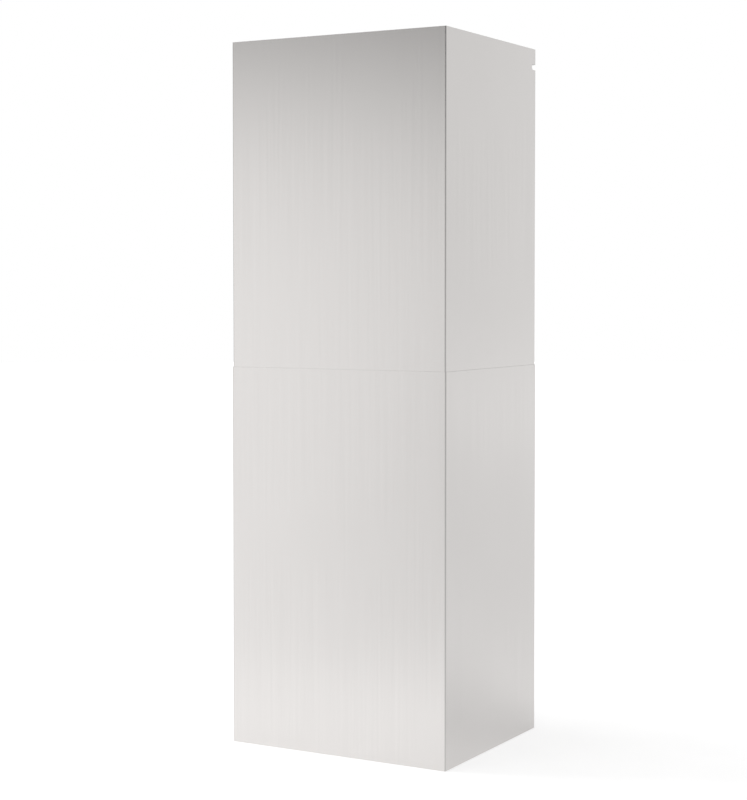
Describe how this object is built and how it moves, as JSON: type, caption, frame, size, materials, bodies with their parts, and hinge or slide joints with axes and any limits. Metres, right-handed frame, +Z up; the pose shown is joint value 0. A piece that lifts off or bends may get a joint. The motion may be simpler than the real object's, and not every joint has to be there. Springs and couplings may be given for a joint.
{
  "type": "cooker hood chimney section",
  "caption": "Telescopic chimney of a wall-mounted cooker hood: a folded sheet-steel sleeve with slotted rear edges slides inside another, both open at the back, to hide the exhaust duct.",
  "frame": {"origin": "under the middle of the lower sleeve's outline, in the plane that its bottom edge stands on", "axes": "+Z up along the slide, +Y to the wall, so the front faces -Y, and +X to the right as seen from the front"},
  "size_m": [0.3, 0.25, 0.873],
  "materials": {
    "satin_stainless": "finely brushed satin stainless steel sheet"
  },
  "bodies": {
    "lower": {"lower_sleeve": "satin_stainless"},
    "upper": {"upper_sleeve": "satin_stainless"}
  },
  "joints": [
    {"name": "upper_slide", "type": "slide", "parent": "lower", "child": "upper", "axis": [0, 0, 1], "range_m": [-0.4, 0.019]}
  ]
}
